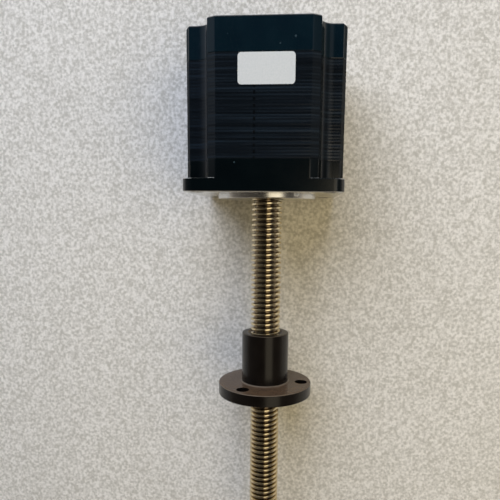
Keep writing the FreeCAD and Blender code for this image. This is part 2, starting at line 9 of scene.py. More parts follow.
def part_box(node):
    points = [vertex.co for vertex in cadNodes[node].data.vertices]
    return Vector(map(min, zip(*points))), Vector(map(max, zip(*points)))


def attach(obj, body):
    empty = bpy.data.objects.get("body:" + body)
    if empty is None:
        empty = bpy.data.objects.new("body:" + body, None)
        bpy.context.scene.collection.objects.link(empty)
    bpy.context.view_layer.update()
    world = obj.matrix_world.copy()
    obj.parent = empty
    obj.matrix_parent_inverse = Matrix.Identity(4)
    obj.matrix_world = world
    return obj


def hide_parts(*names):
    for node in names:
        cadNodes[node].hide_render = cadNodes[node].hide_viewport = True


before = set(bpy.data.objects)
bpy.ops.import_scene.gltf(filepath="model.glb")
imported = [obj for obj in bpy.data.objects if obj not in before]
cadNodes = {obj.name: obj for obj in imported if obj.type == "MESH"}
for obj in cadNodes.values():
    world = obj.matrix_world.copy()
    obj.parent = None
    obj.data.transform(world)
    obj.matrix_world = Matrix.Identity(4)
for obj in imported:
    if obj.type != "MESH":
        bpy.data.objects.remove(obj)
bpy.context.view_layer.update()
mm = 0.001  # the dictionaries give sizes in mm, and lamps and the floor's reach in metres
scene = bpy.context.scene
print("frame loaded,", len(cadNodes), "nodes")


# small helpers

def hexToLinear(text):
    channels = [int(text[i:i + 2], 16) / 255 for i in (1, 3, 5)]
    return [c / 12.92 if c <= 0.04045 else ((c + 0.055) / 1.055) ** 2.4 for c in channels] + [1.0]


def perMetre(sizeMm):  # noise and cell scale for a grain of this size
    return 1.0 / (sizeMm * mm)


def addNode(tree, kind, inputs=None, stops=(), **settings):
    node = tree.nodes.new(kind)
    for name, value in settings.items():
        setattr(node, name, value)
    for socket, value in (inputs or {}).items():
        if isinstance(value, bpy.types.NodeSocket):
            tree.links.new(value, node.inputs[socket])
        else:
            node.inputs[socket].default_value = value
    for number, (place, colour) in enumerate(stops):
        elements = node.color_ramp.elements
        element = elements[number] if number < 2 else elements.new(place)
        element.position = place
        element.color = hexToLinear(colour)
    return node


def startFinish(name, **sockets):
    finish = bpy.data.materials.new(name)
    finish.use_nodes = True
    tree = finish.node_tree
    shader = tree.nodes["Principled BSDF"]
    for socket, value in sockets.items():
        shader.inputs[socket.replace("_", " ")].default_value = value
    coords = addNode(tree, "ShaderNodeTexCoord").outputs["Object"]
    return finish, tree, shader, coords


def plug(tree, shader, **links):
    for socket, output in links.items():
        tree.links.new(output, shader.inputs[socket.replace("_", " ")])


def mergedCopy(node, flatDeg=1.0):
    bm = bmesh.new()
    bm.from_mesh(cadNodes[node].data)
    bmesh.ops.remove_doubles(bm, verts=bm.verts, dist=1e-6)
    bmesh.ops.dissolve_limit(bm, angle_limit=math.radians(flatDeg), verts=bm.verts, edges=bm.edges)
    return bm


def finishPiece(bm, name, body, finish, replaced=(), smoothDeg=32, flatFaces=False):
    mesh = bpy.data.meshes.new(name)
    bm.to_mesh(mesh)
    bm.free()
    piece = bpy.data.objects.new(name, mesh)
    scene.collection.objects.link(piece)
    mesh.materials.append(finish)
    mesh.shade_smooth()
    mesh.set_sharp_from_angle(angle=math.radians(smoothDeg))
    if flatFaces:  # large faces keep their own normals and only the broken edges bend
        weights = piece.modifiers.new("faceWeights", "WEIGHTED_NORMAL")
        weights.keep_sharp = True
    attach(piece, body)
    if replaced:
        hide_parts(*replaced)
    print("made", name, len(mesh.polygons), "faces")
    return piece


def sharpEdges(bm, test, leastDeg=20):
    found = []
    for edge in bm.edges:
        if len(edge.link_faces) == 2 and edge.calc_face_angle(0) > math.radians(leastDeg):
            if test((edge.verts[0].co + edge.verts[1].co) / 2 / mm):
                found.append(edge)
    return found


def turnProfile(bm, points, steps):
    start = [bm.verts.new((x * mm, r * mm, 0)) for x, r in points]
    edges = [bm.edges.new(pair) for pair in zip(start, start[1:])]
    bmesh.ops.spin(
        bm, geom=start + edges, cent=(0, 0, 0), axis=(1, 0, 0), dvec=(0, 0, 0),
        angle=math.tau, steps=steps, use_merge=True,
    )
    bmesh.ops.remove_doubles(bm, verts=bm.verts, dist=1e-7)
    bmesh.ops.recalc_face_normals(bm, faces=bm.faces)


# distance from the screw's axis, for rings and depths
def axisRadius(tree, coords):
    flat = addNode(
        tree, "ShaderNodeVectorMath", {0: coords, 1: (0, 1, 1)}, operation="MULTIPLY"
    ).outputs["Vector"]
    return addNode(tree, "ShaderNodeVectorMath", {0: flat}, operation="LENGTH").outputs["Value"]


# finishes

cornerForm = {"slant": 0.902, "within": 0.018, "roughness": 0.9}


# the steep slants beside the notches take the thinnest coat and dry dull
def dullCorners(tree, satin):
    facing = addNode(tree, "ShaderNodeNewGeometry").outputs["Normal"]
    sideways = addNode(tree, "ShaderNodeSeparateXYZ", {"Vector": facing}).outputs["Y"]
    steep = addNode(tree, "ShaderNodeMath", {0: sideways}, operation="ABSOLUTE").outputs[0]
    corner = addNode(
        tree, "ShaderNodeMath",
        {0: steep, 1: cornerForm["slant"], 2: cornerForm["within"]}, operation="COMPARE",
    ).outputs[0]
    return addNode(
        tree, "ShaderNodeMix", {"Factor": corner, 2: satin, 3: cornerForm["roughness"]}
    ).outputs[0]


paintForm = {"cloud": 9, "peel": 0.5, "dustSpacing": 6, "dustSize": 0.06, "dust": "#2c3a3e"}


# black paint over die-cast aluminium: near black with a cold tint, satin, a faint orange peel
def blackPaint(name, tint, lift):
    finish, tree, shader, coords = startFinish(name, IOR=1.5)
    cloud = addNode(
        tree, "ShaderNodeTexNoise", {"Vector": coords, "Scale": perMetre(paintForm["cloud"]), "Detail": 3}
    )
    paint = addNode(
        tree, "ShaderNodeValToRGB", {"Fac": cloud.outputs["Fac"]},
        stops=[(0.3, tint), (0.75, lift)],
    ).outputs["Color"]
    # a few specks of dust under the paint
    cells = addNode(
        tree, "ShaderNodeTexVoronoi", {"Vector": coords, "Scale": perMetre(paintForm["dustSpacing"])}
    ).outputs["Distance"]
    speck = addNode(
        tree, "ShaderNodeMath", {0: cells, 1: paintForm["dustSize"]}, operation="LESS_THAN"
    ).outputs[0]
    colour = addNode(
        tree, "ShaderNodeMix",
        {"Factor": speck, 6: paint, 7: hexToLinear(paintForm["dust"])}, data_type="RGBA",
    ).outputs[2]
    peel = addNode(
        tree, "ShaderNodeTexNoise", {"Vector": coords, "Scale": perMetre(paintForm["peel"]), "Detail": 2}
    )
    rough = addNode(
        tree, "ShaderNodeMapRange", {"Value": cloud.outputs["Fac"], "To Min": 0.14, "To Max": 0.2}
    ).outputs["Result"]
    rough = dullCorners(tree, rough)
    bump = addNode(
        tree, "ShaderNodeBump", {"Height": peel.outputs["Fac"], "Strength": 0.05, "Distance": 0.02 * mm}
    )
    plug(tree, shader, Base_Color=colour, Roughness=rough, Normal=bump.outputs["Normal"])
    return finish, tree, shader, coords, colour, bump


rearPaint = blackPaint("blackPaintDieCast", "#03121a", "#06181f")[0]


faceForm = {
    "bareFrom": -0.22, "ringFeed": 0.35, "haze": 4,
    "backSlant": -0.6, "slantWithin": 0.3, "flangeBack": -6.0, "cornersFrom": 26,
}


# the front cover is the same paint, with its mounting face and pilot turned bare after painting
def turnedFrontFace():
    finish, tree, shader, coords, paint, peel = blackPaint("blackPaintTurnedFace", "#010608", "#03090b")
    place = addNode(tree, "ShaderNodeSeparateXYZ", {"Vector": coords})
    bare = addNode(
        tree, "ShaderNodeMath",
        {0: place.outputs["X"], 1: faceForm["bareFrom"] * mm}, operation="GREATER_THAN",
    ).outputs[0]
    radius = axisRadius(tree, coords)
    # tool rings, coarser than a real finishing feed so that they show
    ringPhase = addNode(
        tree, "ShaderNodeMath", {0: radius, 1: math.tau / (faceForm["ringFeed"] * mm)}, operation="MULTIPLY"
    )
    rings = addNode(tree, "ShaderNodeMath", {0: ringPhase.outputs[0]}, operation="SINE").outputs[0]
    haze = addNode(
        tree, "ShaderNodeTexNoise", {"Vector": coords, "Scale": perMetre(faceForm["haze"]), "Detail": 4}
    )
    metal = addNode(
        tree, "ShaderNodeValToRGB", {"Fac": haze.outputs["Fac"]},
        stops=[(0.3, "#c9c8c4"), (0.7, "#e2e1dd")],
    ).outputs["Color"]
    # paint rubbed off the broken edge at the back of the flange, at its corners
    facing = addNode(tree, "ShaderNodeNewGeometry").outputs["Normal"]
    backwards = addNode(tree, "ShaderNodeSeparateXYZ", {"Vector": facing}).outputs["X"]
    bevelOnly = addNode(
        tree, "ShaderNodeMath",
        {0: backwards, 1: faceForm["backSlant"], 2: faceForm["slantWithin"]}, operation="COMPARE",
    ).outputs[0]
    onFlange = addNode(
        tree, "ShaderNodeMath",
        {0: place.outputs["X"], 1: faceForm["flangeBack"] * mm}, operation="GREATER_THAN",
    ).outputs[0]
    farOut = addNode(
        tree, "ShaderNodeMath", {0: radius, 1: faceForm["cornersFrom"] * mm}, operation="GREATER_THAN"
    ).outputs[0]
    rubbed = addNode(tree, "ShaderNodeMath", {0: bevelOnly, 1: onFlange}, operation="MULTIPLY").outputs[0]
    rubbed = addNode(tree, "ShaderNodeMath", {0: rubbed, 1: farOut}, operation="MULTIPLY").outputs[0]
    bare = addNode(tree, "ShaderNodeMath", {0: bare, 1: rubbed}, operation="MAXIMUM").outputs[0]
    colour = addNode(
        tree, "ShaderNodeMix", {"Factor": bare, 6: paint, 7: metal}, data_type="RGBA"
    ).outputs[2]
    paintRough = shader.inputs["Roughness"].links[0].from_socket
    metalRough = addNode(
        tree, "ShaderNodeMapRange", {"Value": haze.outputs["Fac"], "To Min": 0.14, "To Max": 0.3}
    ).outputs["Result"]
    rough = addNode(tree, "ShaderNodeMix", {"Factor": bare, 2: paintRough, 3: metalRough}).outputs[0]
    ringBump = addNode(
        tree, "ShaderNodeBump", {"Height": rings, "Strength": 0.25, "Distance": 0.008 * mm}
    )
    normal = addNode(
        tree, "ShaderNodeMix",
        {"Factor": bare, 4: peel.outputs["Normal"], 5: ringBump.outputs["Normal"]}, data_type="VECTOR",
    ).outputs[1]
    plug(tree, shader, Base_Color=colour, Metallic=bare, Roughness=rough, Normal=normal)
    return finish


frontPaint = turnedFrontFace()


stackForm = {
    "sheets": 32, "ringsPerSheet": 4, "groove": 0.04, "sink": 0.04, "spread": 0.02, "seed": 11,
    "linePitch": 2.1375, "mainLine": 0.45, "lineShare": 0.3, "sheetGrain": 0.9, "cloud": 6, "grit": 0.35,
    "seam": -2.95, "seamHalf": 0.4, "seamDepth": 0.14, "pitHalf": 0.34, "pitBelow": 0.1, "pitShade": "#020406",
    "upperFrom": 27, "outsideFrom": 27.4, "longEdge": 30, "smooth": 22,
}


# silicon-steel sheets painted black as a stack: sheet edges catch light one by one, partly as painted
# highlights
def paintedSheets():
    finish, tree, shader, coords = startFinish("blackPaintSiliconSteelSheets", IOR=1.5)
    squeeze = addNode(
        tree, "ShaderNodeMapping", {"Vector": coords, "Scale": (1, 0.02, 0.02)}
    ).outputs["Vector"]
    sheets = addNode(
        tree, "ShaderNodeTexNoise",
        {"Vector": squeeze, "Scale": perMetre(stackForm["sheetGrain"]), "Detail": 1},
    )
    cloud = addNode(
        tree, "ShaderNodeTexNoise", {"Vector": coords, "Scale": perMetre(stackForm["cloud"]), "Detail": 4}
    )
    place = addNode(tree, "ShaderNodeSeparateXYZ", {"Vector": coords})
    # every second sheet edge stands a little prouder and is painted paler, partly rubbed wear and partly a
    # painted highlight
    phase = addNode(
        tree, "ShaderNodeMath", {0: place.outputs["X"], 1: math.tau / (stackForm["linePitch"] * mm)},
        operation="MULTIPLY",
    ).outputs[0]
    line = addNode(tree, "ShaderNodeMath", {0: phase}, operation="SINE").outputs[0]
    halfPhase = addNode(tree, "ShaderNodeMath", {0: phase, 1: 2.0}, operation="MULTIPLY").outputs[0]
    halfLine = addNode(tree, "ShaderNodeMath", {0: halfPhase}, operation="SINE").outputs[0]
    lines = addNode(
        tree, "ShaderNodeMath", {0: line, 1: stackForm["mainLine"], 2: halfLine}, operation="MULTIPLY_ADD"
    ).outputs[0]
    broken = addNode(
        tree, "ShaderNodeMath", {0: lines, 1: cloud.outputs["Fac"]}, operation="MULTIPLY"
    ).outputs[0]
    both = addNode(
        tree, "ShaderNodeMath",
        {0: broken, 1: stackForm["lineShare"], 2: sheets.outputs["Fac"]}, operation="MULTIPLY_ADD",
    ).outputs[0]
    edgeWearAndHighlight = addNode(
        tree, "ShaderNodeValToRGB", {"Fac": both},
        stops=[(0.2, "#060a0e"), (0.5, "#0a1015"), (0.8, "#151f27")],
    ).outputs["Color"]
    # staked seam along the upper side, with painted shade darkening a pit at each proud sheet
    across = addNode(
        tree, "ShaderNodeMath",
        {0: place.outputs["Y"], 1: stackForm["seam"] * mm, 2: stackForm["pitHalf"] * mm}, operation="COMPARE",
    ).outputs[0]
    upper = addNode(
        tree, "ShaderNodeMath",
        {0: place.outputs["Z"], 1: stackForm["upperFrom"] * mm}, operation="GREATER_THAN",
    ).outputs[0]
    pitShade = addNode(
        tree, "ShaderNodeMath", {0: line, 1: stackForm["pitBelow"]}, operation="LESS_THAN"
    ).outputs[0]
    staked = addNode(tree, "ShaderNodeMath", {0: across, 1: upper}, operation="MULTIPLY").outputs[0]
    staked = addNode(tree, "ShaderNodeMath", {0: staked, 1: pitShade}, operation="MULTIPLY").outputs[0]
    colour = addNode(
        tree, "ShaderNodeMix",
        {"Factor": staked, 6: edgeWearAndHighlight, 7: hexToLinear(stackForm["pitShade"])}, data_type="RGBA",
    ).outputs[2]
    rough = addNode(
        tree, "ShaderNodeMapRange", {"Value": sheets.outputs["Fac"], "To Min": 0.17, "To Max": 0.3}
    ).outputs["Result"]
    rough = dullCorners(tree, rough)
    grit = addNode(
        tree, "ShaderNodeTexNoise", {"Vector": coords, "Scale": perMetre(stackForm["grit"]), "Detail": 2}
    )
    bump = addNode(
        tree, "ShaderNodeBump", {"Height": grit.outputs["Fac"], "Strength": 0.06, "Distance": 0.02 * mm}
    ).outputs["Normal"]
    plug(tree, shader, Base_Color=colour, Roughness=rough, Normal=bump)
    return finish


sheetPaint = paintedSheets()


steelForm = {"darkRoot": 4.7, "paleCrest": 6.0, "stain": 3, "stainShare": 0.3, "streak": 0.12}


# rolled stainless screw: darker towards the thread roots and paler at the crests, fine rolling streaks along
# the thread
def rolledStainless():
    finish, tree, shader, coords = startFinish("rolledStainlessSteel", Metallic=1.0)
    radius = axisRadius(tree, coords)
    depth = addNode(
        tree, "ShaderNodeMapRange",
        {"Value": radius, "From Min": steelForm["darkRoot"] * mm, "From Max": steelForm["paleCrest"] * mm},
    ).outputs["Result"]
    stain = addNode(
        tree, "ShaderNodeTexNoise", {"Vector": coords, "Scale": perMetre(steelForm["stain"]), "Detail": 4}
    )
    mixed = addNode(
        tree, "ShaderNodeMath",
        {0: stain.outputs["Fac"], 1: steelForm["stainShare"], 2: depth}, operation="MULTIPLY_ADD",
    ).outputs[0]
    colour = addNode(
        tree, "ShaderNodeValToRGB", {"Fac": mixed},
        stops=[(0.12, "#6e604f"), (0.6, "#b8a98b"), (0.95, "#ecdcb8")],
    ).outputs["Color"]
    streak = addNode(
        tree, "ShaderNodeMapping", {"Vector": coords, "Scale": (1, 0.06, 0.06)}
    ).outputs["Vector"]
    fine = addNode(
        tree, "ShaderNodeTexNoise", {"Vector": streak, "Scale": perMetre(steelForm["streak"]), "Detail": 2}
    )
    rough = addNode(
        tree, "ShaderNodeMapRange", {"Value": fine.outputs["Fac"], "To Min": 0.12, "To Max": 0.26}
    ).outputs["Result"]
    bump = addNode(
        tree, "ShaderNodeBump", {"Height": fine.outputs["Fac"], "Strength": 0.15, "Distance": 0.01 * mm}
    ).outputs["Normal"]
    plug(tree, shader, Base_Color=colour, Roughness=rough, Normal=bump)
    return finish


screwSteel = rolledStainless()


acetalForm = {
    "facedBeyond": 9.7, "facedFrom": 0.75, "facedFull": 0.98, "edgeSlant": 0.6, "edgeWithin": 0.28,
    "rubbed": "#5b4f41", "cloud": 5, "feed": 0.3,
}


# machined filled acetal: dark warm brown, semi-gloss, lathe lines round the axis
def turnedAcetal():
    finish, tree, shader, coords = startFinish("turnedFilledAcetal", IOR=1.36)
    cloud = addNode(
        tree, "ShaderNodeTexNoise", {"Vector": coords, "Scale": perMetre(acetalForm["cloud"]), "Detail": 4}
    )
    turned = addNode(
        tree, "ShaderNodeValToRGB", {"Fac": cloud.outputs["Fac"]},
        stops=[(0.3, "#0b0806"), (0.72, "#120e0b")],
    ).outputs["Color"]
    paintedLitFace = addNode(
        tree, "ShaderNodeValToRGB", {"Fac": cloud.outputs["Fac"]},
        stops=[(0.3, "#4a392a"), (0.72, "#564331")],
    ).outputs["Color"]
    # the flange's end faces get a paler copy of the brown, painted light standing in for the pale floor they
    # reflect
    facing = addNode(tree, "ShaderNodeNewGeometry").outputs["Normal"]
    endwise = addNode(tree, "ShaderNodeSeparateXYZ", {"Vector": facing}).outputs["X"]
    slant = addNode(tree, "ShaderNodeMath", {0: endwise}, operation="ABSOLUTE").outputs[0]
    endwise = addNode(
        tree, "ShaderNodeMapRange",
        {"Value": slant, "From Min": acetalForm["facedFrom"], "From Max": acetalForm["facedFull"]},
    ).outputs["Result"]
    place = addNode(tree, "ShaderNodeSeparateXYZ", {"Vector": coords})
    radius = axisRadius(tree, coords)
    outside = addNode(
        tree, "ShaderNodeMath", {0: radius, 1: acetalForm["facedBeyond"] * mm}, operation="GREATER_THAN"
    ).outputs[0]
    paintedLitFaceMask = addNode(tree, "ShaderNodeMath", {0: endwise, 1: outside}, operation="MULTIPLY").outputs[0]
    body = addNode(
        tree, "ShaderNodeMix", {"Factor": paintedLitFaceMask, 6: turned, 7: paintedLitFace}, data_type="RGBA"
    ).outputs[2]
    # rounded edges and the fillet are painted paler, a painted highlight along them with some rubbed wear
    edges = addNode(
        tree, "ShaderNodeMath",
        {0: slant, 1: acetalForm["edgeSlant"], 2: acetalForm["edgeWithin"]}, operation="COMPARE",
    ).outputs[0]
    colour = addNode(
        tree, "ShaderNodeMix",
        {"Factor": edges, 6: body, 7: hexToLinear(acetalForm["rubbed"])}, data_type="RGBA",
    ).outputs[2]
    along = addNode(
        tree, "ShaderNodeMath", {0: place.outputs["X"], 1: radius}, operation="ADD"
    ).outputs[0]
    # lathe feed, coarser than the real one so that it shows
    phase = addNode(
        tree, "ShaderNodeMath", {0: along, 1: math.tau / (acetalForm["feed"] * mm)}, operation="MULTIPLY"
    )
    feed = addNode(tree, "ShaderNodeMath", {0: phase.outputs[0]}, operation="SINE").outputs[0]
    rough = addNode(
        tree, "ShaderNodeMapRange", {"Value": cloud.outputs["Fac"], "To Min": 0.2, "To Max": 0.28}
    ).outputs["Result"]
    bump = addNode(
        tree, "ShaderNodeBump", {"Height": feed, "Strength": 0.08, "Distance": 0.004 * mm}
    ).outputs["Normal"]
    plug(tree, shader, Base_Color=colour, Roughness=rough, Normal=bump)
    return finish


nutPlastic = turnedAcetal()


fibreMm = 0.6


# matt polyester label stock, off-white with a little fibre
def labelFilm():
    finish, tree, shader, coords = startFinish("mattPolyesterLabel", Roughness=0.55, IOR=1.5)
    fibre = addNode(tree, "ShaderNodeTexNoise", {"Vector": coords, "Scale": perMetre(fibreMm), "Detail": 5})
    colour = addNode(
        tree, "ShaderNodeValToRGB", {"Fac": fibre.outputs["Fac"]},
        stops=[(0.3, "#c0c3be"), (0.7, "#cacbc7")],
    ).outputs["Color"]
    bump = addNode(
        tree, "ShaderNodeBump", {"Height": fibre.outputs["Fac"], "Strength": 0.1, "Distance": 0.01 * mm}
    ).outputs["Normal"]
    plug(tree, shader, Base_Color=colour, Normal=bump)
    return finish


labelStock = labelFilm()


# finishes inside the motor

innerForm = {"mouldSkin": 0.2, "stain": 3, "wire": 0.45, "lacquer": 1.5, "turnShare": 0.25}


# nylon, injection moulded: creamy when natural, black when glass filled, with flow clouds and a soft gloss
def mouldedNylon(name, dark, light, roughness, grainMm):
    finish, tree, shader, coords = startFinish(name, IOR=1.53)
    flow = addNode(
        tree, "ShaderNodeTexNoise",
        {"Vector": coords, "Scale": perMetre(grainMm), "Detail": 4, "Distortion": 0.6},
    ).outputs["Fac"]
    colour = addNode(
        tree, "ShaderNodeValToRGB", {"Fac": flow},
        stops=[(0.3, dark), (0.7, light)],
    ).outputs["Color"]
    rough = addNode(
        tree, "ShaderNodeMapRange", {"Value": flow, "To Min": roughness - 0.07, "To Max": roughness + 0.07}
    ).outputs["Result"]
    # spark-eroded mould skin, drawn coarse so that it shows
    skin = addNode(
        tree, "ShaderNodeTexVoronoi", {"Vector": coords, "Scale": perMetre(innerForm["mouldSkin"])}
    ).outputs["Distance"]
    bump = addNode(
        tree, "ShaderNodeBump", {"Height": skin, "Strength": 0.12, "Distance": 0.01 * mm}
    ).outputs["Normal"]
    plug(tree, shader, Base_Color=colour, Roughness=rough, Normal=bump)
    return finish


# worked steel or brass: streaks of the given grain, drawn out along the directions of the stretch
def workedMetal(name, dark, light, roughness, grainMm, stretch):
    finish, tree, shader, coords = startFinish(name, Metallic=1.0)
    drawn = addNode(
        tree, "ShaderNodeMapping", {"Vector": coords, "Scale": stretch}
    ).outputs["Vector"]
    streak = addNode(
        tree, "ShaderNodeTexNoise", {"Vector": drawn, "Scale": perMetre(grainMm), "Detail": 3}
    ).outputs["Fac"]
    stain = addNode(
        tree, "ShaderNodeTexNoise", {"Vector": coords, "Scale": perMetre(innerForm["stain"]), "Detail": 3}
    ).outputs["Fac"]
    both = addNode(tree, "ShaderNodeMath", {0: streak, 1: stain}, operation="MULTIPLY").outputs[0]
    colour = addNode(
        tree, "ShaderNodeValToRGB", {"Fac": both},
        stops=[(0.12, dark), (0.4, light)],
    ).outputs["Color"]
    rough = addNode(
        tree, "ShaderNodeMapRange", {"Value": streak, "To Min": roughness * 0.75, "To Max": roughness * 1.3}
    ).outputs["Result"]
    bump = addNode(
        tree, "ShaderNodeBump", {"Height": streak, "Strength": 0.12, "Distance": 0.01 * mm}
    ).outputs["Normal"]
    plug(tree, shader, Base_Color=colour, Roughness=rough, Normal=bump)
    return finish


# enamelled copper wire wound in layers: orange metal under a clear lacquer, a ridge for every turn
def woundCopper():
    finish, tree, shader, coords = startFinish(
        "enamelledCopperWinding", Metallic=1.0, Roughness=0.28, Coat_Weight=0.6, Coat_Roughness=0.12
    )
    radius = axisRadius(tree, coords)
    # layer on layer of wire outwards
    phase = addNode(
        tree, "ShaderNodeMath", {0: radius, 1: math.tau / (innerForm["wire"] * mm)}, operation="MULTIPLY"
    )
    turns = addNode(tree, "ShaderNodeMath", {0: phase.outputs[0]}, operation="SINE").outputs[0]
    cloud = addNode(
        tree, "ShaderNodeTexNoise", {"Vector": coords, "Scale": perMetre(innerForm["lacquer"]), "Detail": 3}
    )
    shade = addNode(
        tree, "ShaderNodeMath",
        {0: turns, 1: innerForm["turnShare"], 2: cloud.outputs["Fac"]}, operation="MULTIPLY_ADD",
    ).outputs[0]
    colour = addNode(
        tree, "ShaderNodeValToRGB", {"Fac": shade},
        stops=[(0.2, "#5e2710"), (0.55, "#a85522"), (0.85, "#c87a3c")],
    ).outputs["Color"]
    bump = addNode(
        tree, "ShaderNodeBump", {"Height": turns, "Strength": 0.6, "Distance": 0.1 * mm}
    ).outputs["Normal"]
    plug(tree, shader, Base_Color=colour, Normal=bump)
    return finish


ground = (1.0, 0.05, 0.05)  # streaks run round the axis
rolled = (0.05, 1.0, 1.0)  # streaks run along the axis
even = (1.0, 1.0, 1.0)  # no streaks
nodeFinishes = {
    "connector_header": mouldedNylon("naturalNylonMoulded", "#d8d0bc", "#e6e0d0", 0.42, 5),
    "connector_pins": workedMetal("tinnedBrassStamped", "#b9ae92", "#dcd4be", 0.24, 0.15, even),
    "through_bolts": workedMetal("blackOxideSteel", "#121214", "#26262a", 0.4, 0.3, rolled),
    "front_insulator": mouldedNylon("blackGlassFilledNylon", "#101114", "#1b1c20", 0.5, 2),
    "phase_a_coils": woundCopper(),
    "front_rotor_cup": workedMetal("stampedElectricalSteel", "#6f7276", "#a3a6aa", 0.32, 0.5, ground),
    "front_spacer": workedMetal("turnedMildSteel", "#77787a", "#a8a9ab", 0.26, 0.25, ground),
    "rotor_magnet": workedMetal("nickelPlatedSinter", "#77736c", "#a09c94", 0.3, 0.4, even),
    "wave_washer": workedMetal("blueTemperedSpringSteel", "#4d4a52", "#8a8076", 0.3, 0.6, ground),
    "front_bearing_outer_ring": workedMetal("groundBearingSteel", "#9a9c9f", "#c9cbce", 0.14, 0.12, ground),
    "front_bearing_balls": workedMetal("lappedBearingBalls", "#b9bcc0", "#d9dbde", 0.06, 0.4, even),
    "front_bearing_cage": workedMetal("pressedSteelSheet", "#7f8184", "#b0b2b5", 0.28, 0.3, ground),
}
sameFinish = {
    "rear_insulator": "front_insulator",
    "phase_b_coils": "phase_a_coils",
    "rear_rotor_cup": "front_rotor_cup",
    "rear_spacer": "front_spacer",
    "front_bearing_inner_ring": "front_bearing_outer_ring",
    "rear_bearing_inner_ring": "front_bearing_outer_ring",
    "rear_bearing_outer_ring": "front_bearing_outer_ring",
    "rear_bearing_balls": "front_bearing_balls",
    "rear_bearing_cage": "front_bearing_cage",
    "front_bearing_shields": "front_bearing_cage",
    "rear_bearing_shields": "front_bearing_cage",
}
for node, twin in sameFinish.items():
    nodeFinishes[node] = nodeFinishes[twin]
for node, finish in nodeFinishes.items():
    for place in cadNodes[node].material_slots:
        place.material = finish
print("finished", len(nodeFinishes), "inner nodes")


# lead screw with a rolled trapezoidal thread, and its plain shaft inside the motor
threadForm = {
    "pitch": 2.0, "start": -4.2, "end": 150.0, "endChamfer": 1.0, "outer": 6.0, "steps": 32,
    "profile": [
        (0.0, 4.75), (0.28, 4.75), (0.35, 4.8), (0.61, 5.84), (0.64, 5.92), (0.69, 5.98), (0.77, 6.0),
        (1.23, 6.0), (1.31, 5.98), (1.36, 5.92), (1.39, 5.84), (1.65, 4.8), (1.72, 4.75), (2.0, 4.75),
    ],
    "tail": [(-52.9, 0.0), (-52.9, 3.48), (-52.4, 3.98), (-4.4, 3.98), (-4.2, 3.78), (-4.2, 0.0)],
    "tailSteps": 48, "smooth": 40,
}


def makeScrew(form):
    bm = bmesh.new()
    first = form["start"] - form["pitch"]
    turns = math.ceil((form["end"] - first) / form["pitch"]) + 1
    coil = bmesh.new()
    points = [coil.verts.new(((first + x) * mm, r * mm, 0)) for x, r in form["profile"]]
    edges = [coil.edges.new(pair) for pair in zip(points, points[1:])]
    bmesh.ops.spin(
        coil, geom=points + edges, cent=(0, 0, 0), axis=(1, 0, 0),
        dvec=(form["pitch"] * mm / form["steps"], 0, 0),
        angle=math.tau, steps=form["steps"], use_merge=False,
    )
    oneTurn = bpy.data.meshes.new("oneTurn")
    coil.to_mesh(oneTurn)
    coil.free()
    for _ in range(turns):
        bm.from_mesh(oneTurn)
        oneTurn.transform(Matrix.Translation((form["pitch"] * mm, 0, 0)))
    bpy.data.meshes.remove(oneTurn)
    bmesh.ops.remove_doubles(bm, verts=bm.verts, dist=2e-6)
    for x, side in ((form["start"], -1), (form["end"], 1)):
        cut = bmesh.ops.bisect_plane(
            bm, geom=bm.verts[:] + bm.edges[:] + bm.faces[:], dist=1e-8,
            plane_co=(x * mm, 0, 0), plane_no=(side, 0, 0), clear_outer=True,
        )
        rim = [e for e in cut["geom_cut"] if isinstance(e, bmesh.types.BMEdge)]
        bmesh.ops.holes_fill(bm, edges=rim)
    # the free end is chamfered by drawing the thread in
    chamferFrom = (form["end"] - form["endChamfer"]) * mm
    for vert in bm.verts:
        if vert.co.x > chamferFrom:
            most = form["outer"] * mm - (vert.co.x - chamferFrom)
            radius = math.hypot(vert.co.y, vert.co.z)
            if radius > most:
                vert.co.y *= most / radius
                vert.co.z *= most / radius
    bmesh.ops.recalc_face_normals(bm, faces=bm.faces)
    shaft = bmesh.new()
    turnProfile(shaft, form["tail"], form["tailSteps"])
    loose = bpy.data.meshes.new("shaft")
    shaft.to_mesh(loose)
    shaft.free()
    bm.from_mesh(loose)
    bpy.data.meshes.remove(loose)
    return finishPiece(
        bm, "threadedLeadScrew", "screw_rotor", screwSteel, ["lead_screw"], form["smooth"]
    )


makeScrew(threadForm)

# flanged nut turned from bar, with three bolt holes through its flange
nutForm = {
    "start": 55.2, "steps": 96, "smooth": 34,
    "holeCircle": 15.0, "holeRadius": 2.55, "holeAngles": (2, 122, 242),
    "drillMiddle": 23.2, "drillDepth": 8, "drillSides": 32,
    "profile": [
        (1.2, 6.06), (0.1, 7.16), (0.0, 7.3), (0.0, 9.05), (0.12, 9.34), (0.4, 9.5), (20.0, 9.5),
        (20.31, 9.56), (20.57, 9.73), (20.74, 9.99), (20.8, 10.3), (20.8, 18.6), (20.88, 18.85),
        (21.05, 19.02), (21.3, 19.1), (25.2, 19.1), (25.45, 19.02), (25.6, 18.7), (25.6, 7.26),
        (24.4, 6.06), (1.2, 6.06),
    ],
}


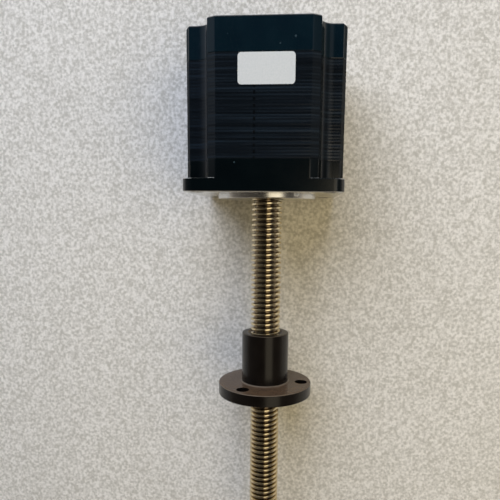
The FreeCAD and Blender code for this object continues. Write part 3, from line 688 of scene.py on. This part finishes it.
def makeNut(form):
    bm = bmesh.new()
    turnProfile(bm, [(form["start"] + x, r) for x, r in form["profile"]], form["steps"])
    nut = finishPiece(
        bm, "flangedScrewNut", "nut", nutPlastic, ["flanged_nut"], form["smooth"], True
    )
    bm = bmesh.new()
    radius = form["holeRadius"] * mm
    for angle in form["holeAngles"]:
        y = form["holeCircle"] * math.cos(math.radians(angle))
        z = form["holeCircle"] * math.sin(math.radians(angle))
        middle = Vector((form["start"] + form["drillMiddle"], y, z))
        bmesh.ops.create_cone(
            bm, cap_ends=True, segments=form["drillSides"], radius1=radius, radius2=radius,
            depth=form["drillDepth"] * mm,
            matrix=Matrix.Translation(middle * mm) @ Matrix.Rotation(math.pi / 2, 4, "Y"),
        )
    drillMesh = bpy.data.meshes.new("drill")
    bm.to_mesh(drillMesh)
    bm.free()
    drill = bpy.data.objects.new("drill", drillMesh)
    scene.collection.objects.link(drill)
    holes = nut.modifiers.new("boltHoles", "BOOLEAN")
    holes.object = drill
    holes.operation = "DIFFERENCE"
    shown = nut.evaluated_get(bpy.context.evaluated_depsgraph_get())
    drilled = bpy.data.meshes.new_from_object(shown)
    nut.modifiers.remove(holes)
    nut.data = drilled
    drilled.set_sharp_from_angle(angle=math.radians(form["smooth"]))
    bpy.data.objects.remove(drill)
    return nut


makeNut(nutForm)

# covers: the CAD solids with their outer edges broken, as cast and machined covers are
coverForm = {
    "edgeBreak": 0.28, "segments": 2, "smooth": 22,
    "outsideFrom": 27.6, "frontStop": -0.5, "rearStop": -56.3,
}


def frontEdges(p):  # all but the rim of the mounting face
    return math.hypot(p.y, p.z) > coverForm["outsideFrom"] and p.x < coverForm["frontStop"]


def rearEdges(p):  # all but the rim of the end face
    return math.hypot(p.y, p.z) > coverForm["outsideFrom"] and p.x > coverForm["rearStop"]


def makeCover(node, name, finish, test):
    bm = mergedCopy(node)
    bmesh.ops.bevel(
        bm, geom=sharpEdges(bm, test), offset=coverForm["edgeBreak"] * mm, offset_type="OFFSET",
        segments=coverForm["segments"], profile=0.5, affect="EDGES", material=-1, clamp_overlap=False,
    )
    return finishPiece(bm, name, "motor", finish, [node], coverForm["smooth"], True)


makeCover("front_cover", "castFrontCover", frontPaint, frontEdges)
makeCover("rear_cover", "castRearCover", rearPaint, rearEdges)


# laminated stack: the CAD core with a fine groove between its sheets all round
def makeStack(form):
    bm = mergedCopy("stator_core")
    low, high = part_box("stator_core")
    for y in (form["seam"] - form["seamHalf"], form["seam"], form["seam"] + form["seamHalf"]):
        bmesh.ops.bisect_plane(
            bm, geom=bm.verts[:] + bm.edges[:] + bm.faces[:], dist=1e-8,
            plane_co=(0, y * mm, 0), plane_no=(0, 1, 0),
        )
    outer = []
    for edge in bm.edges:
        a, b = (v.co for v in edge.verts)
        outside = math.hypot(a.y, a.z) > form["outsideFrom"] * mm
        if outside and abs(a.x - b.x) > form["longEdge"] * mm:
            outer.append(edge)
    rings = form["sheets"] * form["ringsPerSheet"]
    bmesh.ops.subdivide_edges(bm, edges=outer, cuts=rings - 1, use_grid_fill=True)
    bm.normal_update()
    dice = random.Random(form["seed"])
    lift = [dice.uniform(0, form["spread"]) for _ in range(form["sheets"] + 1)]
    moves = []
    for vert in bm.verts:
        if math.hypot(vert.co.y, vert.co.z) > form["outsideFrom"] * mm:
            ring = round((vert.co.x - low.x) / (high.x - low.x) * rings)
            sheet, step = divmod(ring, form["ringsPerSheet"])
            depth = form["sink"] + lift[sheet] + (form["groove"] if step == 0 else 0)
            onSeam = abs(vert.co.y / mm - form["seam"]) < form["seamHalf"] / 2
            if onSeam and vert.co.z > form["upperFrom"] * mm:
                depth += form["seamDepth"]
            flat = Vector((0, vert.normal.y, vert.normal.z))
            moves.append((vert, flat.normalized() * depth * mm))
    for vert, move in moves:
        vert.co -= move
    return finishPiece(
        bm, "laminatedStack", "motor", sheetPaint, ["stator_core"], form["smooth"], True
    )


makeStack(stackForm)

# blank label on the upper side of the stack
labelForm = {
    "x": (-45.25, -35.05), "y": (-8.55, 10.6), "top": 28.195, "thickness": 0.06,
    "corner": 1.2, "cornerSteps": 6,
}


def makeLabel(form):
    bm = bmesh.new()
    (left, right), (low, high) = form["x"], form["y"]
    middle = Vector(((left + right) / 2, (low + high) / 2, form["top"] - form["thickness"])) * mm
    spread = Matrix.Diagonal(((right - left) * mm, (high - low) * mm, 1, 1))
    bmesh.ops.create_grid(  # a unit square, drawn out to the label's sides
        bm, x_segments=1, y_segments=1, size=0.5, matrix=Matrix.Translation(middle) @ spread,
    )
    bmesh.ops.bevel(
        bm, geom=bm.verts[:], offset=form["corner"] * mm, offset_type="OFFSET",
        segments=form["cornerSteps"], profile=0.5, affect="VERTICES", material=-1,
    )
    raised = bmesh.ops.extrude_face_region(bm, geom=bm.faces[:])
    corners = [v for v in raised["geom"] if isinstance(v, bmesh.types.BMVert)]
    bmesh.ops.translate(bm, verts=corners, vec=(0, 0, form["thickness"] * mm))
    bmesh.ops.recalc_face_normals(bm, faces=bm.faces)
    return finishPiece(bm, "blankLabel", "motor", labelStock)


makeLabel(labelForm)

# floor, lights and camera
stageForm = {"floor": "#e3dfd5", "speck": "#b8b4a8", "speckSize": 1.2, "level": -28.25, "reach": 0.6}


def makeFloor(form):
    bm = bmesh.new()
    bmesh.ops.create_grid(
        bm, x_segments=8, y_segments=8, size=form["reach"],
        matrix=Matrix.Translation((0, 0, form["level"] * mm)),
    )
    mesh = bpy.data.meshes.new("paleFloor")
    bm.to_mesh(mesh)
    bm.free()
    floor = bpy.data.objects.new("paleFloor", mesh)
    scene.collection.objects.link(floor)
    finish, tree, shader, coords = startFinish("paleMattSheet", Roughness=0.8)
    speck = addNode(
        tree, "ShaderNodeTexNoise", {"Vector": coords, "Scale": perMetre(form["speckSize"]), "Detail": 3}
    )
    colour = addNode(
        tree, "ShaderNodeValToRGB", {"Fac": speck.outputs["Fac"]},
        stops=[(0.35, form["speck"]), (0.65, form["floor"])],
    ).outputs["Color"]
    plug(tree, shader, Base_Color=colour)
    mesh.materials.append(finish)


makeFloor(stageForm)

lampForm = {
    "window": {
        "place": (-0.56, -0.21, 0.58), "aim": (0.02, 0, 0), "size": (0.8, 0.8),
        "watts": 9.9, "colour": "#dce6ff", "mirrored": False,
    },
    "roomLamp": {
        "place": (0.05, 0.40, 0.46), "aim": (0.02, 0, 0), "size": (0.56, 0.56),
        "watts": 1.35, "colour": "#ffe8aa", "mirrored": False,
    },
    "ceiling": {
        "place": (0.185, 0.255, 0.55), "aim": (0.185, 0.255, 0), "size": (0.49, 0.39),
        "watts": 0.75, "colour": "#fff0d2", "mirrored": True,
    },
}
for name, lamp in lampForm.items():
    light = bpy.data.lights.new(name, "AREA")
    light.shape = "RECTANGLE"
    light.size, light.size_y = lamp["size"]
    light.energy = lamp["watts"]
    light.color = hexToLinear(lamp["colour"])[:3]
    source = bpy.data.objects.new(name, light)
    scene.collection.objects.link(source)
    source.location = lamp["place"]
    aim = Vector(lamp["aim"]) - source.location
    source.rotation_euler = aim.to_track_quat("-Z", "Y").to_euler()
    source.visible_glossy = lamp["mirrored"]

# room light: pale at the horizon, dim overhead, warmer towards the screw, with paler panes round the motor
roomForm = {
    "levels": [
        (0.0, "#b4b4b4"), (0.09, "#848484"), (0.25, "#656565"),
        (0.6, "#555555"), (0.93, "#3c3c3c"), (1.0, "#1e1e1e"),
    ],
    "cool": "#e4ecfa", "warm": "#fbeedd", "warmFrom": -0.25, "warmFull": 0.08,
    "panes": [
        ((-0.6, -0.75, 0.28), 0.84, 0.94, "#868d91"),
        ((-0.22, 0.56, 0.8), 0.945, 0.985, "#7e8388"),
        ((-0.96, -0.1, 0.25), 0.86, 0.95, "#b4b4b2"),
    ],
}
world = bpy.data.worlds.new("studio")
world.use_nodes = True
scene.world = world
tree = world.node_tree
background = tree.nodes["Background"]
direction = addNode(tree, "ShaderNodeTexCoord").outputs["Generated"]
apart = addNode(tree, "ShaderNodeSeparateXYZ", {"Vector": direction})
level = addNode(
    tree, "ShaderNodeValToRGB", {"Fac": apart.outputs["Z"]}, stops=roomForm["levels"]
).outputs["Color"]
warmth = addNode(
    tree, "ShaderNodeMapRange",
    {"Value": apart.outputs["X"], "From Min": roomForm["warmFrom"], "From Max": roomForm["warmFull"]},
).outputs["Result"]
tint = addNode(
    tree, "ShaderNodeValToRGB", {"Fac": warmth}, stops=[(0.0, roomForm["cool"]), (1.0, roomForm["warm"])]
).outputs["Color"]
room = addNode(
    tree, "ShaderNodeMix", {"Factor": 1.0, 6: level, 7: tint}, data_type="RGBA", blend_type="MULTIPLY"
).outputs[2]
for side, edge, full, colour in roomForm["panes"]:
    sideways = addNode(
        tree, "ShaderNodeVectorMath", {0: direction, 1: side}, operation="DOT_PRODUCT"
    ).outputs["Value"]
    pane = addNode(
        tree, "ShaderNodeValToRGB", {"Fac": sideways}, stops=[(edge, "#000000"), (full, colour)]
    ).outputs["Color"]
    room = addNode(
        tree, "ShaderNodeMix", {"Factor": 1.0, 6: room, 7: pane}, data_type="RGBA", blend_type="ADD"
    ).outputs[2]
tree.links.new(room, background.inputs["Color"])
background.inputs["Strength"].default_value = 1.0
print("lit by", len(lampForm), "lamps and the room")

cameraForm = {
    "place": (8.1591, 12.3619, 206.918), "turn": (-8.5606, 4.46507, 90.52668), "lens": 37.06583,
    "shift": (-0.0143, 0.08761),
}
lens = bpy.data.cameras.new("camera")
lens.sensor_width = 36
lens.lens = cameraForm["lens"]
lens.clip_start = 0.01
lens.shift_x, lens.shift_y = cameraForm["shift"]
camera = bpy.data.objects.new("camera", lens)
scene.collection.objects.link(camera)
camera.location = Vector(cameraForm["place"]) * mm
camera.rotation_euler = [math.radians(a) for a in cameraForm["turn"]]
scene.camera = camera
scene.view_settings.view_transform = "Standard"
print("camera set")
